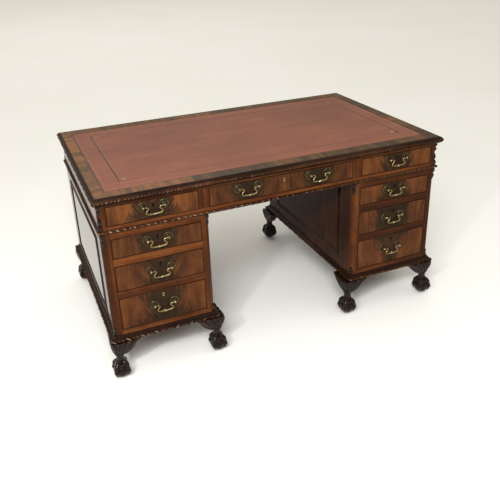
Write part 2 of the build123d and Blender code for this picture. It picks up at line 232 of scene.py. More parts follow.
def wood(name, dark, middle, light, gloss=0.26, shine=0.12, pore=0.5, worn=0.0, coarse=1.0, fill=0.6,
         along=None, crest=(0.515, 0.63), tips=False, rubbed=None):
    """Polished straight-grained wood. Its grain runs along the x of the grain attribute, in metres, or along
    the named axis of the object. Its crests, or the tips where the figure attribute says, are lightened to the
    rubbed colour, partly as wear and partly as a painted highlight, and it is then also darker in its hollows."""
    g = Graph(name)
    if along is None:
        grain = g.attribute("grain")
    else:
        axes = g.parts(g.object_space())
        grain = g.join(*(axes[i] for i in TURNS[along]))
    drift = g.noise(grain, (2.2, 7.0, 7.0), detail=2.0)
    sway = g.math("MULTIPLY", g.math("SUBTRACT", drift, 0.5), 0.035)
    grain = g.vector("ADD", grain, g.join(0.0, sway, sway))
    bands = g.noise(grain, (1.6, 46.0 * coarse, 46.0 * coarse), detail=4.0, rough=0.55)
    fibres = g.noise(grain, (14.0, 620.0, 620.0), rough=0.6)
    ripple = g.noise(grain, (34.0, 9.0, 9.0), detail=2.0)
    cloud = g.noise(grain, (3.5, 11.0, 11.0), detail=2.0)
    shade = g.attribute("shade", "Fac")
    tone = g.total((0.55, bands), (0.28, fibres), (0.14, ripple), (0.36, cloud), (1.0, shade))
    colour = g.ramp(g.span(tone, *TONE_SPAN), (0.0, dark), (0.5, middle), (1.0, light))
    pores = g.span(g.noise(grain, (55.0, 1500.0, 1500.0), detail=2.0), 0.60, 0.74)
    colour = g.mix(g.math("MULTIPLY", pores, pore), colour, shaded(dark, 0.35))
    if worn:
        if tips:
            patchy = g.span(g.noise(grain, (31.0, 40.0, 40.0), detail=2.0), 0.40, 0.62, 0.12, 1.0)
            crests = g.math("MULTIPLY", g.attribute("figure", "Fac"), patchy)
        else:
            crests = g.pointiness(*crest)
        hollow = g.span(g.pointiness(0.40, 0.50), 0.0, 1.0, 0.75, 0.0)
        # painted highlight and wear: the crests or tips are mixed towards the rubbed colour
        colour = g.mix(g.math("MULTIPLY", crests, worn), colour, rubbed or light)
        colour = g.mix(hollow, colour, shaded(dark, 0.22))
    smear = g.noise(grain, (9.0, 9.0, 9.0))
    rough = g.total((1.0, g.span(smear, 0.3, 0.7, 0.8 * gloss, 1.3 * gloss)), (0.4 * gloss, pores))
    relief = g.total((0.5, fibres), (-0.8, pores))
    g.surface(Base_Color=colour, Roughness=rough, Normal=g.bump(relief, 0.00012, fill))
    g.surface(Specular_IOR_Level=shine)
    return g.block


def flame_veneer():
    """Book-matched crotch mahogany. The grain attribute holds x and z from the middle of the front, in metres,
    and a number that differs from drawer to drawer. The figure attribute is how far the dark plume stands from
    the middle: none, or as far as each of a wide drawer's two handles."""
    g = Graph("flame_veneer")
    x, z, seed = g.parts(g.attribute("grain"))
    side = g.math("ABSOLUTE", g.math("SUBTRACT", g.math("ABSOLUTE", x), g.attribute("figure", "Fac")))
    place = g.join(side, z, seed)
    warp = g.math("SUBTRACT", g.noise(place, (8.0, 8.0, 1.0)), 0.5)
    streak = g.math("SUBTRACT", g.noise(place, (230.0, 9.0, 1.0), detail=4.0, rough=0.6), 0.5)
    plume = g.math("SUBTRACT", z, g.total((1.35, side), (0.10, warp)))
    feather_place = g.join(plume, g.math("MULTIPLY", side, 0.4), seed)
    feather = g.noise(feather_place, (75.0, 16.0, 1.0), detail=6.0, rough=0.65)
    edge = g.total((1.0, side), (0.24, warp), (0.07, streak), (-0.20, g.math("SUBTRACT", feather, 0.5)))
    heart = g.span(edge, 0.066, 0.090, 1.0, 0.0)
    across = g.math("ADD", side, g.math("MULTIPLY", warp, 0.05))
    broad, straight = [
        g.noise(g.join(across, g.math("MULTIPLY", z, lean), seed), (fine, fine, 1.0), detail=4.0, rough=0.6)
        for lean, fine in ((0.10, 34.0), (0.03, 230.0))]
    fibres = g.noise(place, (900.0, 24.0, 1.0), rough=0.6)
    cloud = g.noise(place, (16.0, 10.0, 1.0), detail=2.0)
    shade = g.attribute("shade", "Fac")
    tone = g.total((0.34, broad), (0.34, straight), (0.22, fibres), (0.42, cloud), (1.0, shade))
    colour = g.ramp(g.span(tone, *TONE_SPAN), (0.0, (0.020, 0.0073, 0.0028)), (0.45, (0.060, 0.0195, 0.0060)),
                    (1.0, (0.136, 0.0455, 0.0130)))
    depth = g.total((0.75, feather), (0.20, fibres), (0.22, cloud))
    deep = g.ramp(g.span(depth, 0.42, 0.74), (0.0, (0.0070, 0.0050, 0.0028)), (0.5, (0.0145, 0.0090, 0.0045)),
                  (1.0, (0.054, 0.0190, 0.0062)))
    colour = g.mix(g.math("MULTIPLY", heart, 0.92), colour, deep)
    pores = g.span(g.noise(place, (1500.0, 60.0, 1.0), detail=2.0), 0.62, 0.76)
    colour = g.mix(g.math("MULTIPLY", pores, 0.4), colour, (0.010, 0.005, 0.003))
    relief = g.total((0.5, fibres), (-0.8, pores))
    g.surface(Base_Color=colour, Roughness=g.span(cloud, 0.3, 0.7, 0.24, 0.34), Specular_IOR_Level=0.07)
    g.surface(Normal=g.bump(relief, 0.0001, 0.5))
    return g.block


def leather():
    g = Graph("tooled_leather")
    place = g.object_space()
    cloud = g.noise(place, (2.6, 3.4, 1.0), detail=4.0, rough=0.6)
    mottle = g.noise(place, (38.0, 38.0, 1.0), detail=4.0, rough=0.6)
    streak = g.noise(place, (3.0, 26.0, 1.0))
    tone = g.total((0.55, cloud), (0.22, mottle), (0.25, streak))
    colour = g.ramp(g.span(tone, 0.38, 0.66), (0.0, (0.150, 0.055, 0.036)), (0.5, (0.192, 0.070, 0.044)),
                    (1.0, (0.238, 0.088, 0.050)))
    cells = g.vector("MULTIPLY", place, (900.0, 900.0, 1.0))
    edges = g.node("TexVoronoi", {"Vector": cells, "Scale": 1.0}, "Distance", feature="DISTANCE_TO_EDGE")
    pebble = g.span(edges, 0.0, 0.35)
    colour = g.mix(g.span(pebble, 0.0, 0.4, 0.35, 0.0), colour, (0.07, 0.018, 0.013))
    height = g.total((0.7, pebble), (0.3, mottle))
    g.surface(Base_Color=colour, Roughness=g.span(cloud, 0.3, 0.7, 0.40, 0.52), Specular_IOR_Level=0.16)
    g.surface(Normal=g.bump(height, 0.00018, 0.5))
    return g.block


def tooling(name, colour, metal):
    """Lines pressed into the leather, either dark or filled with rubbed gold."""
    g = Graph(name)
    rubbed = g.span(g.noise(g.object_space(), (60.0, 60.0, 1.0), detail=4.0), 0.42, 0.58)
    tint = g.mix(rubbed, shaded(colour, 0.55), colour)
    g.surface(Base_Color=tint, Roughness=g.span(rubbed, 0.0, 1.0, 0.55, 0.38), Metallic=metal)
    return g.block


def brass(name, dark, middle, light, polish):
    """Old brass: dark in its hollows, rubbed bright on its crests."""
    g = Graph(name)
    place = g.object_space()
    cloud = g.noise(place, (45.0, 45.0, 45.0), detail=4.0, rough=0.6)
    speck = g.noise(place, (420.0, 420.0, 420.0))
    rubbed = g.total((0.75, g.pointiness(0.47, 0.58)), (0.5, cloud), (0.2, speck))
    colour = g.ramp(g.span(rubbed, 0.35, 1.05), (0.0, dark), (0.5, middle), (1.0, light))
    g.surface(Base_Color=colour, Metallic=1.0, Roughness=g.span(rubbed, 0.35, 1.05, polish + 0.26, polish))
    g.surface(Normal=g.bump(speck, 0.0001, 0.4))
    return g.block


def matt(name, scale, detail, dark, light, rough):
    """A dull two-toned surface."""
    g = Graph(name)
    tone = g.noise(g.object_space(), (scale, scale, scale), detail)
    g.surface(Base_Color=g.ramp(tone, (0.3, dark), (0.7, light)), Roughness=rough)
    return g


def dark_recess():
    g = matt("keyhole_shadow", 900.0, 3.0, (0.002, 0.0015, 0.001), (0.007, 0.004, 0.003), 0.8)
    g.surface(Specular_IOR_Level=0.0)
    return g.block


def floor_paper():
    return matt("studio_paper", 0.7, 2.0, (0.80, 0.785, 0.745), (0.825, 0.81, 0.775), 0.75).block


# Carvings: the pale rubbed colour on their tips is partly wear and partly a painted highlight.
CARVED = {"rubbed": (0.42, 0.29, 0.20), "gloss": 0.21, "shine": 0.06, "worn": 0.85, "pore": 0.2, "fill": 0.3,
          "tips": True}
MAHOGANY = wood("mahogany", (0.018, 0.0050, 0.0018), (0.048, 0.0135, 0.0038), (0.125, 0.038, 0.0095),
                worn=0.08, shine=0.06)
SIDE_WOOD = wood("mahogany_sides", (0.011, 0.0034, 0.0015), (0.030, 0.0086, 0.0027), (0.062, 0.0185, 0.0056),
                 gloss=0.16, shine=0.05, pore=0.3, fill=0.2)
MIRROR_SIDE = wood("polished_sides", (0.013, 0.0050, 0.0030), (0.034, 0.0112, 0.0052), (0.068, 0.0225, 0.0092),
                   gloss=0.035, shine=0.24, pore=0.2, fill=0.06)
SIDE_MARGIN = wood("side_margins", (0.014, 0.0048, 0.0024), (0.036, 0.0112, 0.0042), (0.072, 0.0230, 0.0080),
                   gloss=0.11, shine=0.07, pore=0.2, fill=0.15)
CROSSBAND = wood("crossbanding", (0.040, 0.0245, 0.0155), (0.086, 0.0415, 0.0205), (0.190, 0.0780, 0.0300),
                 gloss=0.22, shine=0.10, coarse=0.7)
# Nearly black mahogany. On the panel frames of the sides and backs this darkness is partly a painted shadow:
# it draws the dark lines that the mouldings' shadows make.
MOULDING = wood("dark_moulding", (0.0060, 0.0024, 0.0014), (0.0145, 0.0052, 0.0025), (0.036, 0.0125, 0.0055),
                gloss=0.24, shine=0.08, pore=0.2)
CARVING = wood("dark_carving", (0.0050, 0.0019, 0.0009), (0.0250, 0.0090, 0.0034), (0.080, 0.0290, 0.0105),
               **CARVED)
WAIST_WOOD = wood("waist_carving", (0.0070, 0.0026, 0.0012), (0.0280, 0.0096, 0.0034), (0.078, 0.0270, 0.0095),
                  **CARVED)
# Feet and corner leaves: the rubbed colour on the crests of the ribs is partly wear and partly a painted
# highlight.
FOOT_WOOD = wood("foot_carving", (0.0050, 0.0024, 0.0015), (0.0100, 0.0038, 0.0021), (0.026, 0.0092, 0.0048),
                 rubbed=(0.060, 0.027, 0.016), gloss=0.09, shine=0.20, worn=0.6, pore=0.15, fill=0.2,
                 crest=(0.57, 0.74))
LINING = wood("drawer_lining", (0.17, 0.095, 0.045), (0.27, 0.16, 0.080), (0.36, 0.225, 0.12),
              gloss=0.45, shine=0.3, pore=0.3)
FLAME = flame_veneer()
LEATHER = leather()
BLIND_TOOLING = tooling("blind_tooling", (0.040, 0.016, 0.012), 0.0)
GOLD_TOOLING = tooling("gold_tooling", (0.33, 0.150, 0.070), 0.2)
ORNAMENT = tooling("corner_gilding", (0.55, 0.38, 0.25), 0.3)
BRASS = brass("antique_brass", (0.07, 0.050, 0.018), (0.200, 0.145, 0.060), (0.70, 0.57, 0.33), 0.23)
DARK_BRASS = brass("dulled_brass", (0.030, 0.0205, 0.0110), (0.070, 0.050, 0.026), (0.20, 0.155, 0.085), 0.32)
KEYHOLE = dark_recess()

# ---- Mesh helpers
rng = random.Random(7)


def set_attribute(mesh, name, values):
    """Gives each vertex a number or a vector."""
    values = np.asarray(values, np.float32)
    kind, field = ("FLOAT_VECTOR", "vector") if values.ndim == 2 else ("FLOAT", "value")
    mesh.attributes.new(name, kind, "POINT").data.foreach_set(field, values.ravel())


class Stock:
    """The vertices, faces, grain directions, shades and material numbers of one piece while it is made."""

    def __init__(self):
        self.verts, self.grain, self.shade, self.figure = [], [], [], []
        self.faces, self.smooth, self.slots = [], [], []
        self.count = 0

    def add(self, verts, faces, smooth=True, slot=0, grain=None, shade=0.0, matrix=None):
        verts = np.asarray(verts, float)
        if matrix is not None:
            turn = np.array(matrix)
            verts = verts @ turn[:3, :3].T + turn[:3, 3]
        self.verts.append(verts)
        self.grain.append(verts if grain is None else np.asarray(grain, float))
        self.shade.append(np.full(len(verts), shade))
        self.figure.append(np.zeros(len(verts)))
        self.faces += [[i + self.count for i in face] for face in faces]
        self.smooth += list(smooth) if isinstance(smooth, (list, tuple)) else [smooth] * len(faces)
        self.slots += [slot] * len(faces)
        self.count += len(verts)

    def mesh(self, name, materials=()):
        """Everything added so far, as one mesh."""
        mesh = bpy.data.meshes.new(name)
        mesh.from_pydata(np.concatenate(self.verts).tolist(), [], self.faces)
        mesh.polygons.foreach_set("use_smooth", self.smooth)
        for material in materials:
            mesh.materials.append(material)
        mesh.update()
        return mesh

    def piece(self, name, body, materials, slot, replaces=()):
        """Makes the Blender object, rides it on its body and hides the nodes that it stands for."""
        mesh = self.mesh(name, materials)
        for attribute in ("grain", "shade", "figure"):
            set_attribute(mesh, attribute, np.concatenate(getattr(self, attribute)))
        mesh.polygons.foreach_set("material_index", self.slots)
        place(name, mesh, body, slot, replaces)


def place(name, mesh, body, slot, replaces=(), at=(0.0, 0.0, 0.0)):
    obj = link(name, mesh, at)
    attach(obj, body)
    if replaces:
        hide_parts(*replaces)


def in_mm(points, base=0.0):
    """Points given in mm, their second numbers counted from a base in metres."""
    return [(a * MM, base + b * MM) for a, b in points]


def circle(segments):
    return [(cos(2 * pi * k / segments), sin(2 * pi * k / segments)) for k in range(segments)]


def quads(rings, n, closed=True):
    """Faces between neighbouring rings of n points, outward where the rings run anticlockwise and rise."""
    return [[r * n + k, r * n + (k + 1) % n, (r + 1) * n + (k + 1) % n, (r + 1) * n + k]
            for r, k in product(range(rings - 1), range(n if closed else n - 1))]


def capped(rings, n):
    """The quads of a closed solid, after its two ends."""
    return [list(range(n))[::-1], list(range((rings - 1) * n, rings * n))] + quads(rings, n)


def flipped(faces):
    """The faces turned over, each from the same first corner."""
    return [face[:1] + face[:0:-1] for face in faces]


def log_place():
    """A random place in the log."""
    return [rng.uniform(-3.0, 3.0) for _ in range(3)]


def cut(verts, axis):
    """Grain coordinates of a board: its own length first, moved to a random place in the log."""
    return np.asarray(verts)[:, TURNS[axis]] + log_place()


def add_cut(stock, verts, faces, smooth, slot, grain, shade):
    """Adds a board's faces, with a random shade unless one is given."""
    shade = rng.uniform(-0.06, 0.06) if shade is None else shade
    stock.add(verts, faces, smooth, slot, cut(verts, grain), shade)


def box_topology():
    """Faces of a 4 by 4 by 4 shell of points, outward, and which of them are rounded arrises."""
    keys = [key for key in product(range(4), repeat=3) if any(k in (0, 3) for k in key)]
    index = {key: i for i, key in enumerate(keys)}
    faces, smooth = [], []
    for axis, end in product(range(3), (0, 3)):
        across, up = (axis + 1) % 3, (axis + 2) % 3
        for i, j in product(range(3), repeat=2):
            corners = []
            for di, dj in ((0, 0), (1, 0), (1, 1), (0, 1)):
                key = [0, 0, 0]
                key[axis], key[across], key[up] = end, i + di, j + dj
                corners.append(index[tuple(key)])
            faces.append(corners if end else corners[::-1])
            smooth.append((i, j) != (1, 1))
    return keys, faces, smooth


BOX_KEYS, BOX_FACES, BOX_SMOOTH = box_topology()


def board(stock, x, y, z, grain="x", round_off=0.8 * MM, slot=0, shade=None):
    """A board between three (low, high) pairs, with rounded arrises."""
    low = np.array([min(pair) for pair in (x, y, z)])
    high = np.array([max(pair) for pair in (x, y, z)])
    radius = min(round_off, 0.45 * (high - low).min())
    steps = np.stack([low, low + radius, high - radius, high])
    points = np.array([[steps[i, 0], steps[j, 1], steps[k, 2]] for i, j, k in BOX_KEYS])
    core = np.clip(points, low + radius, high - radius)
    out = points - core
    points = core + out * radius / np.linalg.norm(out, axis=1, keepdims=True)
    add_cut(stock, points, BOX_FACES, BOX_SMOOTH, slot, grain, shade)


def prism(stock, outline, z, grain="z", round_off=0.8 * MM, slot=0, shade=None):
    """A prism on a plan outline, anticlockwise, with its arrises taken off."""
    outline = np.array(outline, float)
    turning = np.roll(outline, -1, 0) - outline
    area = sum(a[0] * b[1] - a[1] * b[0] for a, b in zip(outline, np.roll(outline, -1, 0)))
    if area < 0:
        outline = outline[::-1]
        turning = np.roll(outline, -1, 0) - outline
    along = turning / np.linalg.norm(turning, axis=1, keepdims=True)
    inward = np.stack([-along[:, 1], along[:, 0]], 1)
    rim, inner = [], []
    for i, corner in enumerate(outline):
        for edge, way in ((i - 1, -1.0), (i, 1.0)):
            point = corner + way * along[edge] * round_off
            rim.append(point)
            inner.append(point + inward[edge] * round_off)
    rings = [(inner, z[0]), (rim, z[0] + round_off), (rim, z[1] - round_off), (inner, z[1])]
    verts = np.array([(px, py, height) for ring, height in rings for px, py in ring])
    n = len(rim)
    smooth = [False, False] + [level != 1 or i % 2 == 0 for level, i in product(range(3), range(n))]
    add_cut(stock, verts, capped(4, n), smooth, slot, grain, shade)


def weld(verts, faces, *others):
    """Joins vertices that coincide and drops the faces that this closes up."""
    _, first, inverse = np.unique(np.round(verts / 2e-6).astype(np.int64), axis=0, return_index=True,
                                  return_inverse=True)
    inverse = inverse.ravel()
    kept = []
    for face in faces:
        ids = [int(inverse[i]) for i in face]
        ids = [a for a, b in zip(ids, ids[1:] + ids[:1]) if a != b]
        if len(set(ids)) == len(ids) > 2:
            kept.append(ids)
    return (verts[first], kept) + tuple(other[first] for other in others)


# Painted light on the carved front's tips: strong at its left end, where the light falls, weak at its right
# end.
FRONT_PAINTED_LIGHT = (1.0, 0.15)                       # at the left and right ends of a carved front
# Painted light on the carved mouldings' tips: strongest on the front, which faces the light, weaker on the
# sides and back.
RUN_PAINTED_LIGHT = (1.0, 0.35, 0.5, 0.15)              # of the carved mouldings: front, right, back, left

RELIEF_REACH = 1.5 * MM                        # how far a relief may stand proud of its profile


def quarters():
    """Front, right, back and left: their numbers, ways out and ways along, anticlockwise."""
    for quarter, out in enumerate(((0, -1), (1, 0), (0, 1), (-1, 0))):
        yield quarter, np.array(out, float), np.array([-out[1], out[0]], float)


def mitred_run(stock, centre, half, profile, relief=None, step=1.6 * MM, slot=0, matrix=None, shade=0.0):
    """A moulding round a rectangle. The profile is a closed anticlockwise loop of (out, height), seen looking
    along the run with outside to the right. The relief is a function of the distance from the nearest corner
    and of the profile's points, and gives how far each point stands proud and how much its tip is lightened,
    partly as wear and partly as a painted highlight that is then scaled by each side's painted light."""
    profile = np.array(profile, float)
    ahead = np.roll(profile, -1, 0) - np.roll(profile, 1, 0)
    normal = np.stack([ahead[:, 1], -ahead[:, 0]], 1)
    normal /= np.maximum(np.linalg.norm(normal, axis=1, keepdims=True), 1e-12)
    n = len(profile)
    all_verts, all_grain, all_wear_and_highlight, faces = [], [], [], []
    base = 0
    reach = profile[:, 0].max() + (RELIEF_REACH if relief else 0.0)
    for quarter, out, along in quarters():
        length = half[quarter % 2] + reach
        inset = half[1 - quarter % 2]
        if relief:
            s = np.linspace(-length, length, 2 * max(2, int(round(length / step))) + 1)
            lift, wear_and_highlight = relief(length - np.abs(s)[:, None], profile)
        else:
            s = np.array([-length, length])
            lift = wear_and_highlight = np.zeros((2, n))
        # painted light: the front's tips fade from its left end to its right end
        if quarter == 0:
            wear_and_highlight = wear_and_highlight * np.interp(s + centre[0], (-HALF_X, HALF_X), FRONT_PAINTED_LIGHT)[:, None]
        o = profile[None, :, 0] + lift * normal[None, :, 0]
        h = profile[None, :, 1] + lift * normal[None, :, 1]
        limit = half[quarter % 2] + o
        run = np.clip(s[:, None], -limit, limit)
        plan = np.array(centre) + out * (inset + o)[..., None] + along * run[..., None]
        all_verts.append(np.concatenate([plan, h[..., None]], 2).reshape(-1, 3))
        all_grain.append(np.stack([run + 7.0 * quarter, o, h], 2).reshape(-1, 3))
        # each side's tips are scaled by its painted light
        all_wear_and_highlight.append((RUN_PAINTED_LIGHT[quarter] * wear_and_highlight).ravel())
        faces += [[base + i for i in face] for face in flipped(quads(len(s), n))]
        base += len(s) * n
    grain = np.concatenate(all_grain) + log_place()
    verts, faces, grain, wear_and_highlight = weld(np.concatenate(all_verts), faces, grain, np.concatenate(all_wear_and_highlight))
    stock.add(verts, faces, True, slot, grain, shade, matrix)
    stock.figure[-1][:] = wear_and_highlight


def lathe(stock, profile, matrix, segments=40, slot=0):
    """A turned piece about local z, from (radius, height) points in mm that start and end on the axis."""
    verts, faces, rings = [], [], []
    for radius, height in profile:
        ring = circle(segments) if radius else [(0.0, 0.0)]
        rings.append(range(len(verts), len(verts) + len(ring)))
        verts += [(radius * MM * c, radius * MM * s, height * MM) for c, s in ring]
    for (low, high), k in product(zip(rings, rings[1:]), range(segments)):
        m = (k + 1) % segments
        if len(low) == 1:
            faces.append([high[m], high[k], low[0]])
        elif len(high) == 1:
            faces.append([low[k], low[m], high[0]])
        else:
            faces.append([low[k], low[m], high[m], high[k]])
    stock.add(verts, faces, True, slot, matrix=matrix)


def tube(path, radii, segments):
    """Vertices and faces of a closed round tube with its own radius at each point of its path."""
    path = np.array(path, float)
    ahead = np.gradient(path, axis=0)
    ahead /= np.linalg.norm(ahead, axis=1, keepdims=True)
    side = np.cross(ahead[0], (0.0, 0.0, 1.0) if abs(ahead[0][2]) < 0.9 else (0.0, 1.0, 0.0))
    verts = []
    for point, direction, radius in zip(path, ahead, radii):
        side = side - direction * side.dot(direction)
        side /= np.linalg.norm(side)
        other = np.cross(direction, side)
        verts += [point + radius * (side * c + other * s) for c, s in circle(segments)]
    return np.array(verts), capped(len(path), segments)


def smooth_path(points, count):
    """Points along a Catmull-Rom curve through the given ones."""
    points = np.array(points, float)
    ends = np.vstack([2 * points[0] - points[1], points, 2 * points[-1] - points[-2]])
    result = []
    for t in np.linspace(0.0, len(points) - 1.0 - 1e-9, count):
        i = int(t)
        u = t - i
        a, b, c, d = ends[i:i + 4]
        result.append(0.5 * (2 * b + (c - a) * u + (2 * a - 5 * b + 4 * c - d) * u ** 2
                             + (3 * b - a - 3 * c + d) * u ** 3))
    return [tuple(point) for point in result]


# ---- Sizes read from the frame
DRAWERS = sorted(name for name in frame["bodies"] if name.endswith("_drawer"))
HINGES = [joint for joint in frame["joints"] if joint["type"] == "hinge"]
CASE_LOW, CASE_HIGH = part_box("frieze_front_frame")[0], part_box("frieze_back")[1]
HALF_X, HALF_Y = CASE_HIGH.x, CASE_HIGH.y
FACE_Y = CASE_LOW.y
FRAME_BACK_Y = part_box("frieze_front_frame")[1].y
CANT = 14 * MM
FRONT_GAP = 1 * MM
STILE_SHADE = 0.02
RAIL_SHADES = {"divider": 0.03, "lower": 0.09, "upper": 0.04}


def opening(name):
    """The (x, z) pairs of the opening that a drawer closes."""
    low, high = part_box(f"{name}_front")
    return (low.x - FRONT_GAP, high.x + FRONT_GAP), (low.z - FRONT_GAP, high.z + FRONT_GAP)


# ---- Top
BAND_SHADE = (-0.01, -0.05, 0.05, 0.12)        # front, right, back, left
BAND_LEAF = 190 * MM                           # rough length of one leaf of veneer
ORNAMENT_IN = 92 * MM


def banded_top():
    """The board under the leather and its mitred border of crossbanded veneer leaves."""
    stock = Stock()
    low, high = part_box("top_board")
    in_low, in_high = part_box("leather_writing_surface")
    board(stock, (low.x, high.x), (low.y, high.y), (low.z, in_low.z), "x", shade=0.0)
    for quarter, out, along in quarters():
        half, inner = [(corner[quarter % 2], corner[1 - quarter % 2]) for corner in (high, in_high)]
        count = int(round(2 * half[0] / BAND_LEAF))
        joints = np.linspace(-half[0], half[0], count + 1)
        joints[1:-1] += [rng.uniform(-0.03, 0.03) for _ in range(count - 1)]
        for start, end in zip(joints, joints[1:]):
            corners = [out * wide[1] + along * np.clip(s, -wide[0], wide[0])
                       for s, wide in ((start, half), (end, half), (end, inner), (start, inner))]
            verts = np.array([(*c, z) for z in (in_low.z, high.z) for c in corners])
            across = np.stack([verts[:, :2] @ out, verts[:, :2] @ along, verts[:, 2]], 1)
            verts, faces, grain = weld(verts, capped(2, 4), across + log_place())
            stock.add(verts, faces, False, 1, grain, BAND_SHADE[quarter] + rng.uniform(-0.11, 0.11))
    stock.piece("banded_top_board", "root", [SIDE_WOOD, CROSSBAND], "mahogany", ["top_board"])


def ornament(stock, at, way):
    """A small gilt corner flower: three petals and a bead that point into the leather."""
    steps = 9
    for turn, long in ((0.0, 13 * MM), (0.75, 8 * MM), (-0.75, 8 * MM)):
        angle = atan2(way[1], way[0]) + turn
        verts = []
        for t in np.linspace(0.0, 1.0, steps):
            half = 2.1 * MM * sin(pi * (0.06 + 0.88 * t)) ** 0.8
            u = 2.5 * MM + t * long
            for v, height in ((-half, 0.0), (0.0, 0.35 * MM), (half, 0.0), (0.0, -0.3 * MM)):
                verts.append((at[0] + u * cos(angle) - v * sin(angle), at[1] + u * sin(angle) + v * cos(angle),
                              at[2] + height))
        stock.add(verts, [face[::-1] for face in capped(steps, 4)], True, 3)
    lathe(stock, [(0, 0), (1.9, 0), (1.6, 0.4), (0, 0.6)], Matrix.Translation(at), 12, 3)


def leather_top():
    """The leather, sunk along its tooled lines, as rings of faces that follow its edge."""
    stock = Stock()
    low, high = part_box("leather_writing_surface")
    # (inset from the edge, depth below the surface, material of the ring that ends here)
    rings = [(0.0, 2.0, 0), (0.05, 1.1, 1), (5.2, 1.1, 1), (6.0, 0.15, 0), (7.6, 0.0, 0), (13.0, 0.0, 0),
             (13.4, 0.35, 2), (14.4, 0.35, 2), (14.8, 0.0, 0), (16.4, 0.0, 0), (16.7, 0.3, 2), (17.2, 0.3, 2),
             (17.5, 0.0, 0), (44.0, -0.05, 0), (74.0, 0.0, 0), (74.6, 0.7, 1), (79.4, 0.7, 1), (80.0, 0.0, 0),
             (81.6, 0.0, 0), (82.0, 0.35, 2), (82.9, 0.35, 2), (83.3, 0.0, 0), (120.0, -0.05, 0)]
    verts = []
    for inset, depth, _ in rings:
        x, y, z = high.x - inset * MM, high.y - inset * MM, high.z - depth * MM
        verts += [(-x, -y, z), (x, -y, z), (x, y, z), (-x, y, z)]
    stock.add(verts, capped(len(rings), 4), False)
    stock.slots = [0, 0] + [material for _, _, material in rings[1:] for _ in range(4)]
    for sx, sy in product((-1, 1), repeat=2):
        ornament(stock, (sx * (high.x - ORNAMENT_IN), sy * (high.y - ORNAMENT_IN), high.z), (-sx, -sy))
    stock.piece("tooled_leather_top", "root", [LEATHER, BLIND_TOOLING, GOLD_TOOLING, ORNAMENT],
                "tooled_leather", ["leather_writing_surface"])


def unit(value):
    """The value, kept between 0 and 1."""
    return np.clip(value, 0.0, 1.0)


def arc(centre, radius, start, end, count):
    """Points on an arc, angles in degrees."""
    return [(centre[0] + radius * cos(radians(a)), centre[1] + radius * sin(radians(a)))
            for a in np.linspace(start, end, count)]


def height_share(profile, low, high):
    """0 at the top of the carved band and 1 at its foot, with a factor that fades the carving at both."""
    share = unit((high - profile[:, 1]) / (high - low))[None, :]
    return share, unit(np.minimum(share, 1.0 - share) * 7.0)


def acanthus(distance, profile, low, high, period=112 * MM, strokes=4, depth=3.6 * MM, slant=0.9):
    """Leaves side by side, each with slanting lobes that mirror about its rib."""
    share, fade = height_share(profile, low, high)
    from_rib = np.abs((distance / period) % 1.0 - 0.5) * 2.0
    lobe = (from_rib * strokes + slant * share) % 1.0
    ridge = 1.0 - np.abs(2.0 * lobe - 1.0) ** 1.5
    swell = 0.80 + 0.20 * np.cos(2.0 * pi * from_rib)
    fade = fade * unit(distance / (3 * MM))
    tip = unit((ridge - 0.88) / 0.10) * unit(1.0 - np.abs(share - 0.40) / 0.20)
    return fade * depth * (ridge * swell - 0.70), fade * tip


def leaf_and_beads(distance, profile, low, high, period=58 * MM, depth=3.6 * MM):
    """A long slanting leaf, then two beads."""
    share, fade = height_share(profile, low, high)
    u = (distance / period) % 1.0
    leaf = np.exp(-((u - 0.24 - 0.30 * (share - 0.5)) / 0.085) ** 2)
    beads = sum(np.exp(-((u - at) / 0.055) ** 2 - ((share - 0.45) / 0.30) ** 2) for at in (0.58, 0.81))
    fade = fade * unit(distance / (3 * MM))
    crest = unit(leaf + beads)
    return fade * depth * (crest - 0.62), fade * unit((crest - 0.72) / 0.24)


def slots_above(stock, height, slot=1):
    """The given material for the faces of the first solid that lie wholly above a height, else the first."""
    verts = stock.verts[0]
    return [slot if min(verts[i][2] for i in face) > height - 0.01 * MM else 0 for face in stock.faces]


def carved_edge():
    stock = Stock()
    low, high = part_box("carved_top_edge")
    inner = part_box("top_board")[1]
    top, under = high.z, low.z
    fillet = under + 21.6 * MM
    # out from the top board, height
    profile = in_mm([(0, 0), (3, 0), (5.5, 0.8)], under)
    lobe = in_mm([(6.5, 2.6), (10, 5.5), (14.2, 9.5), (17.2, 14), (17.4, 18), (15.4, 21.5)], under)
    profile += smooth_path(lobe, 16)
    profile += in_mm([(15, 0.3), (14.4, 1.8), (12.6, 4.2), (9.6, 6.4)], fillet)
    profile += in_mm([(6.6, -0.4), (5, 0), (0, 0)], top)

    def relief(distance, points):
        return acanthus(distance, points, under + 2 * MM, under + 21.5 * MM)

    mitred_run(stock, (0, 0), (inner.x, inner.y), profile, relief, 1.5 * MM)
    stock.slots = slots_above(stock, fillet)
    stock.piece("carved_leaf_edge", "root", [CARVING, MOULDING], "dark_carving", ["carved_top_edge"])


